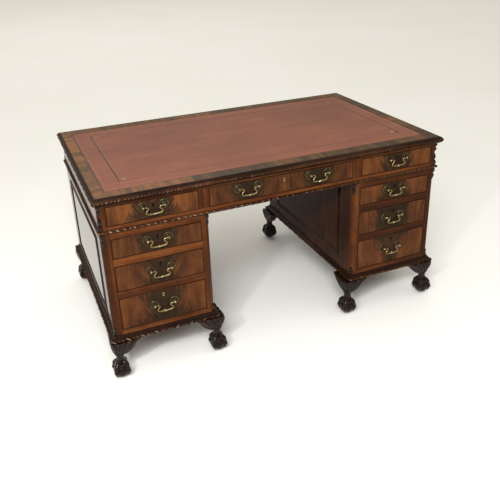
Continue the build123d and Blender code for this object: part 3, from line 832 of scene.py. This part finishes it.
# ---- Waist bead and plinths
def waist():
    """Bead of long ribbon twists and short round beads."""
    stock = Stock()
    low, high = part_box("waist_moulding")
    radius = (high.z - low.z) / 2
    middle = (high.z + low.z) / 2
    profile = [(-28 * MM, low.z), (-10 * MM, low.z)]
    profile += arc((1.6 * MM, middle), radius, -90, 90, 13)
    profile += [(-10 * MM, high.z), (-28 * MM, high.z)]
    period, bead_share, twists = 116 * MM, 0.10, 4

    def relief(distance, points):
        u = (distance / period) % 1.0
        angle = np.arctan2(points[:, 1] - middle, points[:, 0] - 1.6 * MM)[None, :]
        bead = np.sqrt(unit(1.0 - (2.0 * u / bead_share - 1.0) ** 2))
        turn = (u - bead_share) / (1.0 - bead_share) * twists
        ribbon = np.abs(np.sin(pi * (turn + 0.22 * angle * (turn > 0.15) * (turn < twists - 0.15)))) ** 0.45
        shape = np.where(u < bead_share, bead, ribbon)
        outer = (points[:, 0] > 0)[None, :]
        # painted highlight: the tips are lightened only on the bead's upper face, where the light falls
        upper = unit(1.0 - np.abs(angle - 0.35) / 0.75)
        tip = unit((shape - 0.94) / 0.05)
        return outer * (2.2 * MM * (shape - 1.0) + 0.5 * MM), outer * upper * tip

    mitred_run(stock, (0, 0), (HALF_X, HALF_Y), profile, relief)
    stock.piece("ribbon_and_bead_waist", "root", [WAIST_WOOD], "dark_carving", ["waist_moulding"])


FLOOR_IN = 30 * MM                             # the board that closes a pedestal's foot
FLOOR_THICK = 12 * MM


def plinth(side):
    """Smooth ogee over a carved lip, round one pedestal."""
    stock = Stock()
    node = f"{side}_pedestal_plinth"
    low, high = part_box(node)
    case_low, case_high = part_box(f"{side}_pedestal_back")
    centre = ((case_low.x + case_high.x) / 2, 0.0)
    half = ((case_high.x - case_low.x) / 2, HALF_Y)
    under, top = low.z + 4 * MM, high.z
    carved = under + 14.2 * MM
    profile = in_mm([(-30, 0), (6, 0), (12, 0.4)], under)
    profile += smooth_path(in_mm([(14.5, 1.8), (17.2, 5), (17.6, 9), (15.6, 12.6), (12, 14.2)], under), 14)
    ogee = in_mm([(10.6, 14.5), (7.6, 16.2), (4.6, 18), (3.3, 21)], under) + in_mm([(3, -1.5)], top)
    profile += smooth_path(ogee, 8) + in_mm([(2.2, -0.3), (1, 0), (-30, 0)], top)

    def relief(distance, points):
        return leaf_and_beads(distance, points, under + 0.5 * MM, carved)

    mitred_run(stock, centre, half, profile, relief)
    stock.slots = slots_above(stock, carved, 2)
    x_in, y_in = half[0] - FLOOR_IN, half[1] - FLOOR_IN
    board(stock, (centre[0] - x_in, centre[0] + x_in), (-y_in, y_in), (top - FLOOR_THICK, top), "y", slot=1)
    stock.piece(f"{side}_carved_plinth", "root", [CARVING, SIDE_WOOD, MOULDING], "dark_carving", [node])


# ---- Cases
def stile(stock, x_inner, x_outer, z, shade):
    """A front stile whose outer corner is canted."""
    way = 1 if x_outer > x_inner else -1
    plan = [(x_inner, FRAME_BACK_Y), (x_inner, FACE_Y), (x_outer - way * CANT, FACE_Y),
            (x_outer, FACE_Y + CANT), (x_outer, FRAME_BACK_Y)]
    prism(stock, plan, z, shade=shade)


def frieze():
    low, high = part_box("frieze_front_frame")
    y = (low.y, high.y)
    left, _ = opening("left_frieze_drawer")
    middle, z_open = opening("centre_drawer")
    right, _ = opening("right_frieze_drawer")
    stock = Stock()
    stile(stock, left[0], low.x, (low.z, high.z), STILE_SHADE)
    stile(stock, right[1], high.x, (low.z, high.z), STILE_SHADE)
    for x in ((left[1], middle[0]), (middle[1], right[0])):
        board(stock, x, y, z_open, "z", shade=RAIL_SHADES["divider"])
    board(stock, (left[0], right[1]), y, (low.z, z_open[0]), "x", shade=RAIL_SHADES["lower"])
    board(stock, (left[0], right[1]), y, (z_open[1], high.z), "x", shade=RAIL_SHADES["upper"])
    stock.piece("frieze_rails_and_stiles", "root", [MAHOGANY], "mahogany", ["frieze_front_frame"])

    stock = Stock()
    low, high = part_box("frieze_ends")
    thick = high.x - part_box("frieze_drawer_supports")[1].x
    for s in (-1, 1):
        board(stock, (s * (high.x - thick), s * high.x), (low.y, high.y), (low.z, high.z), "y")
    stock.piece("frieze_end_boards", "root", [SIDE_MARGIN], "mahogany", ["frieze_ends"])

    stock = Stock()
    low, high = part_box("frieze_back")
    prism(stock, back_plan(low.x, high.x, low.y, high.y), (low.z, high.z), "x")
    stock.piece("frieze_back_board", "root", [SIDE_WOOD], "mahogany", ["frieze_back"])


def back_plan(x_low, x_high, y_in, y_out):
    return [(x_low, y_in), (x_high, y_in), (x_high, y_out - CANT), (x_high - CANT, y_out),
            (x_low + CANT, y_out), (x_low, y_out - CANT)]


PANEL_MOULD = [(-16, 0), (0, 0), (0, 1.4), (-0.8, 2.4), (-2.6, 3.0), (-4.0, 2.2), (-4.6, 1.0), (-7.5, 1.2),
               (-9.6, 2.0), (-10.8, 3.6), (-12.8, 4.0), (-14.6, 3.4), (-15.6, 2.0), (-16, 1.0)]


def panel_frame(stock, plane, half_u, z):
    """A mitred applied moulding on a vertical face. plane maps (across, up, out) to the desk."""
    middle, half_v = (z[0] + z[1]) / 2, (z[1] - z[0]) / 2
    mitred_run(stock, (0, middle), (half_u, half_v), in_mm(PANEL_MOULD), slot=1, matrix=plane)


def facing(origin, across, out):
    """Matrix of a vertical face: columns are across, up and out."""
    turn = Matrix((across, (0, 0, 1), out)).transposed()
    return Matrix.Translation(origin) @ turn.to_4x4()


PANEL_Z = (244 * MM, 588 * MM)
PANEL_HALF_Y = 328 * MM
PANEL_MARGIN_X = 66 * MM
SIDE_THICK = 16 * MM
FIELD_IN = 8 * MM                              # edge of a side's veneered field, hidden under the frame
FIELD_PROUD = 0.4 * MM
PEDESTAL_STILE_SHADE = (-0.08, 0.06)           # outer, inner
# Tones of each pedestal's rails, top down. The left pedestal's are set lighter than the right's: partly tone,
# partly painted light from the left.
RAIL_SHADE = {"left": (0.10, 0.16, 0.02, 0.06), "right": (0.02, -0.02, -0.04, -0.02)}


def pedestal(side):
    way = -1 if side == "left" else 1
    for which, out in (("outer", way), ("inner", -way)):
        node = f"{side}_pedestal_{which}_side"
        low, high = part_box(node)
        case_low, case_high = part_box(f"{side}_pedestal_back")
        face_x = case_high.x if out > 0 else case_low.x
        stock = Stock()
        board(stock, (face_x, face_x - out * SIDE_THICK), (low.y, high.y), (low.z, high.z), "z", shade=0.0)
        plane = facing((face_x, 0, 0), (0, out, 0), (out, 0, 0))
        panel_frame(stock, plane, PANEL_HALF_Y, PANEL_Z)
        finish = SIDE_MARGIN if which == "outer" else SIDE_WOOD
        field = MIRROR_SIDE if which == "outer" else SIDE_WOOD
        field_y, field_x = PANEL_HALF_Y - FIELD_IN, face_x + out * FIELD_PROUD
        board(stock, (face_x - out * MM, field_x), (-field_y, field_y),
              (PANEL_Z[0] + FIELD_IN, PANEL_Z[1] - FIELD_IN), "z", 0.2 * MM, slot=2, shade=0.0)
        stock.piece(f"{side}_{which}_panelled_side", "root", [finish, MOULDING, field], "mahogany", [node])

    node = f"{side}_pedestal_back"
    low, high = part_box(node)
    stock = Stock()
    prism(stock, back_plan(low.x, high.x, low.y, HALF_Y), (low.z, high.z), "z", shade=0.0)
    middle = (low.x + high.x) / 2
    plane = facing((middle, HALF_Y, 0), (-1, 0, 0), (0, 1, 0))
    panel_frame(stock, plane, (high.x - low.x) / 2 - PANEL_MARGIN_X, PANEL_Z)
    stock.piece(f"{side}_panelled_back", "root", [SIDE_WOOD, MOULDING], "mahogany", [node])

    node = f"{side}_pedestal_front_frame"
    low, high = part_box(node)
    openings = [opening(f"{side}_{level}_drawer") for level in ("upper", "middle", "lower")]
    x_open = openings[0][0]
    stock = Stock()
    stiles = ((x_open[0], low.x), (x_open[1], high.x))[::-way]
    for (x_in, x_out), shade in zip(stiles, PEDESTAL_STILE_SHADE):
        stile(stock, x_in, x_out, (low.z, high.z), shade)
    edges = [high.z] + [z for _, pair in openings for z in reversed(pair)] + [low.z]
    for shade, top, bottom in zip(RAIL_SHADE[side], edges[0::2], edges[1::2]):
        board(stock, x_open, (low.y, high.y), (bottom, top), "x", shade=shade)
    stock.piece(f"{side}_rails_and_stiles", "root", [MAHOGANY], "mahogany", [node])


# ---- Carved leaves on the canted corners
def corner_leaf(stock, corner, out, z_root, z_tip, width, proud):
    """A veined leaf on a canted corner, folded into two scallops between its root and its tip."""
    across_n, along_n = 15, 31
    out = Vector(out).normalized()
    across = Vector((-out.y, out.x, 0.0))
    verts, faces = [], []
    for j in range(along_n):
        t = j / (along_n - 1)
        scallop = abs(sin(pi * (2.0 * t + 0.12))) ** 0.6
        swell = (1.0 - t ** 6) * (0.40 + 0.60 * scallop)
        half = 0.5 * width * max(0.10, (1.0 - t ** 3) * (0.80 + 0.20 * scallop))
        for i in range(across_n):
            u = -1.0 + 2.0 * i / (across_n - 1)
            dome = sqrt(max(0.0, 1.0 - u * u))
            vein = 0.28 * abs(sin(pi * (1.5 * abs(u) + 2.6 * t))) + 0.25 * max(0.0, 1 - 6 * abs(u))
            rise = proud * (1.0 - 0.30 * t) * swell * dome * (0.72 + vein)
            point = Vector(corner) + across * (half * u) + out * max(0.0, rise)
            verts.append((point.x, point.y, z_root + (z_tip - z_root) * t))
    flat = len(verts)
    for j in range(along_n):
        for i in (0, across_n - 1):
            point = Vector(verts[j * across_n + i]) - out * (1.0 * MM)
            verts.append(tuple(point))
    faces = quads(along_n, across_n, closed=False)
    for j in range(along_n - 1):
        l0, r0 = flat + 2 * j, flat + 2 * j + 1
        a, b = j * across_n, j * across_n + across_n - 1
        faces.append([a, a + across_n, l0 + 2, l0])
        faces.append([b + across_n, b, r0, r0 + 2])
        faces.append([l0, l0 + 2, r0 + 2, r0])
    faces.append(list(range(across_n))[::-1] + [flat, flat + 1])
    last = (along_n - 1) * across_n
    faces.append(list(range(last, last + across_n)) + [flat + 2 * along_n - 1, flat + 2 * along_n - 2])
    if z_tip < z_root:
        faces = [face[::-1] for face in faces]
    stock.add(verts, faces)


LEAF_WIDE = 1.08 * CANT * sqrt(2)


def corner_leaves():
    low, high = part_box("left_pedestal_front_frame")
    frieze_low, frieze_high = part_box("frieze_front_frame")
    # height of the root, way to the tip, length and how proud in mm
    inner_leaves = ((high.z, -1, 60, 8.5), (low.z, 1, 40, 6))
    outer_leaves = inner_leaves + ((frieze_low.z, 1, 62, 9.5), (frieze_high.z, -1, 46, 9.5))
    stock = Stock()
    for sx, sy in product((-1, 1), repeat=2):
        for x, out_x, leaves in ((HALF_X, 1, outer_leaves), (abs(high.x), -1, inner_leaves)):
            corner = (sx * (x - out_x * CANT / 2), sy * (HALF_Y - CANT / 2), 0.0)
            for z, way, long, proud in leaves:
                corner_leaf(stock, corner, (sx * out_x, sy, 0.0), z + way * 0.5 * MM, z + way * long * MM,
                            LEAF_WIDE, proud * MM)
    stock.piece("corner_leaf_carvings", "root", [FOOT_WOOD], "dark_carving")


# ---- Feet
BALL_R = 32.5 * MM
BALL_Z = 32.2 * MM
KNEE_TOP = 173 * MM
KNEE = ((173, 29, 1.0, 4.5), (164, 30, 1.5, 4.0), (154, 30, 2.0, 3.4), (144, 28.5, 2.0, 3.0),
        (134, 26, 1.5, 2.6), (124, 23.5, 0.5, 2.3), (114, 20.5, 0.0, 2.1), (104, 17.8, -1.0, 2.0),
        (95, 16.2, -1.5, 2.0), (86, 16.0, -1.0, 2.0), (77, 18.5, 0.0, 2.0), (68, 22.5, 0.0, 2.0),
        (57, 26.0, 0.0, 2.0))
WING_LONG = 90 * MM
RIB_PITCH = 0.23
RIB_DEPTH = 5.6 * MM
VOXEL = 1.35 * MM
FOOT_REACH = 41 * MM                           # from a foot's middle to the outside of its brackets
FOOT_TURNS = {(1, 1): 0, (-1, 1): 1, (-1, -1): 2, (1, -1): 3}


def loft(sections, segments=64):
    """A closed solid through rounded squares given as (height, half width, lean outwards, squareness). A
    squareness of 2 gives a circle."""
    verts = []
    for z, radius, lean, square in sections:
        for c, s in circle(segments):
            reach = radius / (abs(c) ** square + abs(s) ** square) ** (1.0 / square)
            verts.append((lean + reach * c, lean + reach * s, z))
    return np.array(verts), capped(len(sections), segments)


def wing(swap):
    """The bracket that runs from the knee along one rail, swelling outwards."""
    verts = []
    stations = 30
    for x in np.linspace(14 * MM, -WING_LONG, stations):
        reach = min(1.0, max(0.0, (-x - 12 * MM) / (WING_LONG - 12 * MM)))
        low = KNEE_TOP - 3 * MM - (KNEE_TOP - 3 * MM - 106 * MM) * max(0.0, 1.0 - reach ** 2) ** 0.9
        face_out = (29 - 6 * reach ** 1.5) * MM
        loop = [(face_out * (1.0 + 0.10 * sin(pi * t) - 0.55 * t ** 2.6), KNEE_TOP + (low - KNEE_TOP) * t)
                for t in np.linspace(0.0, 1.0, 15)]
        loop += [(-12 * MM, low), (-12 * MM, KNEE_TOP)]
        verts += [(y, x, z) if swap else (x, y, z) for y, z in loop]
    faces = capped(stations, len(loop))
    return np.array(verts), flipped(faces) if swap else faces


def talon(angle):
    """One toe: from the ankle over two knuckles to the nail under the ball."""
    route = [(5, 80, 8.0), (12, 74.5, 8.8), (21.5, 67.5, 9.6), (28.6, 59.5, 10.2), (32.6, 51, 8.0),
             (34.8, 43.5, 7.6), (35.6, 35.5, 9.2), (34.2, 28, 7.4), (31.6, 21.5, 6.4), (28.0, 16.0, 4.9),
             (24.0, 12.0, 2.6)]
    route = smooth_path(route, 60)
    path = [(r * cos(angle) * MM, r * sin(angle) * MM, z * MM) for r, z, _ in route]
    return tube(path, [radius * MM for _, _, radius in route], 20)


def foot_mesh():
    """The carved foot as one mesh: its solids are fused, then ribs are cut into the knee and the wings."""
    stock = Stock()
    heights = np.linspace(0.4 * MM, BALL_Z + 0.98 * BALL_R, 40)
    stock.add(*loft([(z, sqrt(BALL_R ** 2 - (z - BALL_Z) ** 2), 0.0, 2.0) for z in heights]))
    stock.add(*loft([(z * MM, half * MM, lean * MM, square) for z, half, lean, square in KNEE]))
    for swap in (False, True):
        stock.add(*wing(swap))
    for quarter in range(4):
        stock.add(*talon(pi / 4 + quarter * pi / 2))
    obj = link("foot_source", stock.mesh("claw_and_ball_foot"))
    remesh = obj.modifiers.new("fuse", "REMESH")
    remesh.mode = "VOXEL"
    remesh.voxel_size = VOXEL
    soften = obj.modifiers.new("soften", "SMOOTH")
    soften.iterations = 3
    soften.factor = 0.5
    evaluated = obj.evaluated_get(bpy.context.evaluated_depsgraph_get())
    fused = bpy.data.meshes.new_from_object(evaluated)
    bpy.data.objects.remove(obj)
    carve_foot(fused)
    return fused


def fade(value, start, end):
    """Rises from 0 to 1 between two places given in mm."""
    return unit((value - start * MM) / ((end - start) * MM))


def read(mesh, name):
    """A vector of every vertex."""
    values = np.zeros(len(mesh.vertices) * 3, np.float32)
    mesh.vertices.foreach_get(name, values)
    return values.reshape(-1, 3)


def carve_foot(mesh):
    co = read(mesh, "co").astype(float)
    x, y, z = co.T
    inner = np.minimum(x, y)
    theta = np.arctan2(inner - 14 * MM, z - 84 * MM)
    ribs = np.abs(np.sin(pi * theta / RIB_PITCH)) ** 0.65 - 1.0
    mask = fade(z, 101, 111) * fade(z, 176, 172) * fade(np.maximum(x, y), 2, 7)
    lift = mask * RIB_DEPTH * ribs
    knuckle = fade(np.hypot(x, y), 24, 30) * fade(z, 76, 68)
    lift += knuckle * 0.9 * MM * (np.abs(np.sin(z / (4.4 * MM))) - 1.0) * (z > 19 * MM)
    co += read(mesh, "normal") * lift[:, None]
    co[:, 2] = np.clip(co[:, 2], 0.0, KNEE_TOP)
    mesh.vertices.foreach_set("co", co.astype(np.float32).ravel())
    set_attribute(mesh, "grain", co[:, TURNS["z"]])
    set_attribute(mesh, "shade", np.zeros(len(co)))
    mesh.polygons.foreach_set("use_smooth", [True] * len(mesh.polygons))
    mesh.materials.clear()
    mesh.materials.append(FOOT_WOOD)
    mesh.update()


def feet():
    mesh = foot_mesh()
    for side in SIDES:
        low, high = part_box(f"{side}_pedestal_feet")
        for out_x, out_y in product((-1, 1), repeat=2):
            x, y = [(at[1] - FOOT_REACH if out > 0 else at[0] + FOOT_REACH)
                    for out, at in ((out_x, (low.x, high.x)), (out_y, (low.y, high.y)))]
            end = "outer" if abs(x) > 0.5 else "inner"
            name = f"{side}_{'front' if out_y < 0 else 'back'}_{end}_claw_foot"
            obj = link(name, mesh, (x, y, 0.0))
            obj.rotation_euler = (0.0, 0.0, FOOT_TURNS[out_x, out_y] * pi / 2)
            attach(obj, "root")
            if (out_x, out_y) == (-1, -1):
                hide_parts(f"{side}_pedestal_feet")


# ---- Drawers
BEAD = 2.6 * MM
BOX_THICK = 10 * MM
KEY_DROP = 20 * MM                             # keyhole below the top of a front
LOCK_HALF, LOCK_DEEP, LOCK_Z = 23 * MM, 9 * MM, (-22 * MM, 8 * MM)
PIN_WIDE, PIN_NARROW, PIN_DEEP = 2.2 * MM, 0.9 * MM, 13 * MM
OUTER_KEYHOLE, INNER_KEYHOLE = 1.28 * MM, 0.97 * MM
FIGURE_SHADE = {"left": 0.04, "right": 0.05, "centre": 0.01}


def drawer_front(name):
    low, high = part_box(f"{name}_front")
    stock = Stock()
    x, z = (low.x + BEAD, high.x - BEAD), (low.z + BEAD, high.z - BEAD)
    y = (FACE_Y, high.y)
    board(stock, x, (y[0] + 0.8 * MM, y[1]), z, "x", slot=1)
    middle = ((x[0] + x[1]) / 2, (z[0] + z[1]) / 2)
    seed = rng.uniform(0.0, 40.0)
    shade = FIGURE_SHADE[name.split("_")[0]] + rng.uniform(-0.03, 0.03)
    board(stock, x, (y[0], y[0] + 1.2 * MM), z, "x", round_off=0.4 * MM, slot=0, shade=shade)
    veneer = stock.verts[-1]
    stock.grain[-1] = np.stack([veneer[:, 0] - middle[0], veneer[:, 2] - middle[1],
                                np.full(len(veneer), seed)], 1)
    offset = max(joint["pos_m"][0] - middle[0] for joint in HINGES if joint["parent"] == name)
    stock.figure[-1][:] = offset
    run = facing((middle[0], y[0], middle[1]), (1, 0, 0), (0, -1, 0))
    bead = [(0, -high.y + y[0]), (BEAD, -high.y + y[0]), (BEAD, 0.2 * MM)]
    bead += arc((BEAD / 2, 0.2 * MM), BEAD / 2, 0, 180, 7)[1:]
    half = ((x[1] - x[0]) / 2, (z[1] - z[0]) / 2)
    mitred_run(stock, (0, 0), half, bead, slot=1, matrix=run, shade=-0.12)
    stock.piece(f"{name}_veneered_front", name, [FLAME, MAHOGANY], "flame_veneer", [f"{name}_front"])


def drawer_box(name):
    low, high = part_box(f"{name}_box")
    stock = Stock()
    x = (low.x + BOX_THICK, high.x - BOX_THICK)
    for pair in ((low.x, x[0]), (x[1], high.x)):
        board(stock, pair, (low.y, high.y), (low.z, high.z), "y", 1.6 * MM)
    floor = (low.z + 6 * MM, low.z + 12 * MM)
    board(stock, x, (low.y, high.y), floor, "x", 0.3 * MM)
    board(stock, x, (high.y - BOX_THICK, high.y), (floor[1], high.z - 6 * MM), "x", 1.2 * MM)
    tails(stock, (low.x, high.x), low, high)
    stock.piece(f"{name}_lined_box", name, [LINING, MAHOGANY], "drawer_lining", [f"{name}_box"])


def tails(stock, xs, low, high):
    """Ends of the front's dovetail pins, which show on the drawer sides just behind the front."""
    count = max(2, int((high.z - low.z) / (24 * MM)))
    pitch = (high.z - low.z) / count
    for x, way in zip(xs, (-1, 1)):
        for k in range(count + 1):
            z = min(max(low.z + k * pitch, low.z + 2.4 * MM), high.z - 2.4 * MM)
            face = x + way * 0.08 * MM
            start, end = low.y + 0.2 * MM, low.y + PIN_DEEP
            outline = [(start, z - PIN_WIDE), (end, z - PIN_NARROW), (end, z + PIN_NARROW),
                       (start, z + PIN_WIDE)]
            verts = [(px, py, pz) for px in (face - way * 0.6 * MM, face) for py, pz in outline]
            faces = capped(2, 4) if way > 0 else [face[::-1] for face in capped(2, 4)]
            stock.add(verts, faces, False, 1, cut(np.array(verts), "x"), -0.05)


ROSE = [(0, 0), (17.4, 0), (17.5, 0.6), (17.1, 1.3), (16.3, 1.6), (15.5, 1.2), (15.1, 0.6), (13.2, 0.5),
        (12.6, 0.9), (11.9, 1.1), (11.2, 0.9), (10.7, 0.5), (8.4, 0.6), (7.4, 0.9), (6.8, 1.6), (5.6, 2.0),
        (4.2, 2.4), (0, 2.5)]
POST = [(0, 1.0), (3.9, 1.0), (3.7, 3.0), (3.3, 5.0), (3.6, 7.2), (4.6, 9.2), (5.4, 11.2), (5.5, 13.4),
        (5.0, 15.6), (4.0, 17.2), (3.0, 17.9), (2.6, 18.6), (1.6, 19.3), (0, 19.5)]
NUT = [(0, 0), (6, 0), (6, 3.2), (5.2, 4.0), (2.6, 4.0), (2.4, 7.0), (0, 7.0)]


def keyhole_outline(scale):
    """A round hole over a tapering slot, as (x, z) points round it."""
    points = arc((0.0, 0.0), 3.1 * scale, -52, 232, 22)
    return points + [(-2.1 * scale, -8.2 * scale), (2.1 * scale, -8.2 * scale)]


def escutcheon(stock, x, z, slot):
    outer, inner = keyhole_outline(OUTER_KEYHOLE), keyhole_outline(INNER_KEYHOLE)
    n = len(outer)
    levels = [(outer, 0.05), (outer, -0.5), (inner, -0.62), (inner, -0.10)]
    verts = [(x + px, FACE_Y + depth * MM, z + pz) for loop, depth in levels for px, pz in loop]
    stock.add(verts, quads(4, n), False, slot)
    plug = [(x + px, FACE_Y + depth * MM, z + pz) for depth in (-0.12, 0.3) for px, pz in inner]
    stock.add(plug, flipped(capped(2, n)), False, 2)


def drawer_fittings(name):
    low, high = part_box(f"{name}_front")
    stock = Stock()
    outward = Matrix(((1, 0, 0), (0, 0, -1), (0, 1, 0))).to_4x4()
    inward = Matrix(((1, 0, 0), (0, 0, 1), (0, -1, 0))).to_4x4()
    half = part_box(HINGES[0]["child"])[1].x - HINGES[0]["pos_m"][0] - 2 * MM
    for joint in HINGES:
        if joint["parent"] != name:
            continue
        x, _, z = joint["pos_m"]
        for post_x in (x - half, x + half):
            centre = Matrix.Translation((post_x, FACE_Y - 0.02 * MM, z)) @ outward
            lathe(stock, ROSE, centre, slot=1)
            lathe(stock, POST, centre)
            lathe(stock, NUT, Matrix.Translation((post_x, high.y, z)) @ inward, 8)
    x, z = (low.x + high.x) / 2, high.z - KEY_DROP
    # Only these two escutcheons are brass; on the other drawers the escutcheon takes the keyhole's painted
    # shadow colour, so it reads as part of the dark hole.
    bright = name in ("centre_drawer", "left_lower_drawer")
    escutcheon(stock, x, z, 0 if bright else 2)
    board(stock, (x - LOCK_HALF, x + LOCK_HALF), (high.y, high.y + LOCK_DEEP), (z + LOCK_Z[0], z + LOCK_Z[1]),
          slot=1)
    stock.piece(f"{name}_roses_and_lock", name, [BRASS, DARK_BRASS, KEYHOLE], "antique_brass",
                [f"{name}_fittings"])


def bail_mesh():
    """Swan-neck bail about its pin line, in metres: x across, z down."""
    half = [(43, 0, 2.25), (36, 0, 2.25), (30, -0.4, 2.3), (25, -1.4, 2.5), (22.4, -4.6, 2.4),
            (22.8, -8.6, 2.3), (26.4, -12.6, 2.5), (30.0, -16.6, 2.9), (31.0, -20.8, 3.2),
            (28.6, -25.2, 3.5), (23.6, -27.6, 3.6), (16.5, -28.3, 3.4), (9.0, -28.6, 2.9),
            (3.0, -28.8, 2.5)]
    route = half + [(-x, z, r) for x, z, r in reversed(half)]
    route = smooth_path(route, 150)
    stock = Stock()
    stock.add(*tube([(x * MM, 0.0, z * MM) for x, z, _ in route], [r * MM for _, _, r in route], 18))
    bead = [(0, -5.4), (2.2, -5.4), (3.8, -5.0), (3.9, -4.0), (2.8, -3.3), (3.6, -2.5), (4.7, -1.3), (5.0, 0),
            (4.7, 1.3), (3.6, 2.5), (2.8, 3.3), (3.9, 4.0), (3.8, 5.0), (2.2, 5.4), (0, 5.4)]
    across = Matrix(((0, 0, 1), (0, 1, 0), (-1, 0, 0))).to_4x4()
    lathe(stock, bead, Matrix.Translation((0, 0, -28.8 * MM)) @ across, 24)
    return stock.mesh("swan_neck_bail", [BRASS])


def handles():
    mesh = bail_mesh()
    for joint in HINGES:
        name = joint["child"]
        place(f"{name}_swan_neck_bail", mesh, name, "antique_brass", [name], joint["pos_m"])


# ---- Parts of the frame that stay as they are
def inner_work():
    """Runners, dust board and pedestal tops stay as packed and get bare wood."""
    running = wood("runner_wood", (0.10, 0.050, 0.024), (0.16, 0.085, 0.042), (0.22, 0.125, 0.066),
                   gloss=0.5, shine=0.3, pore=0.3, along="y")
    for node in ("frieze_drawer_supports", "left_pedestal_drawer_runners", "right_pedestal_drawer_runners",
                 "pedestal_top_boards"):
        mesh = frame["nodes"][node].data
        mesh.materials.clear()
        mesh.materials.append(running)


make_camera()
make_studio()
banded_top()
leather_top()
carved_edge()
waist()
frieze()
for pedestal_side in SIDES:
    plinth(pedestal_side)
    pedestal(pedestal_side)
corner_leaves()
feet()
for drawer in DRAWERS:
    drawer_front(drawer)
    drawer_box(drawer)
    drawer_fittings(drawer)
handles()
inner_work()
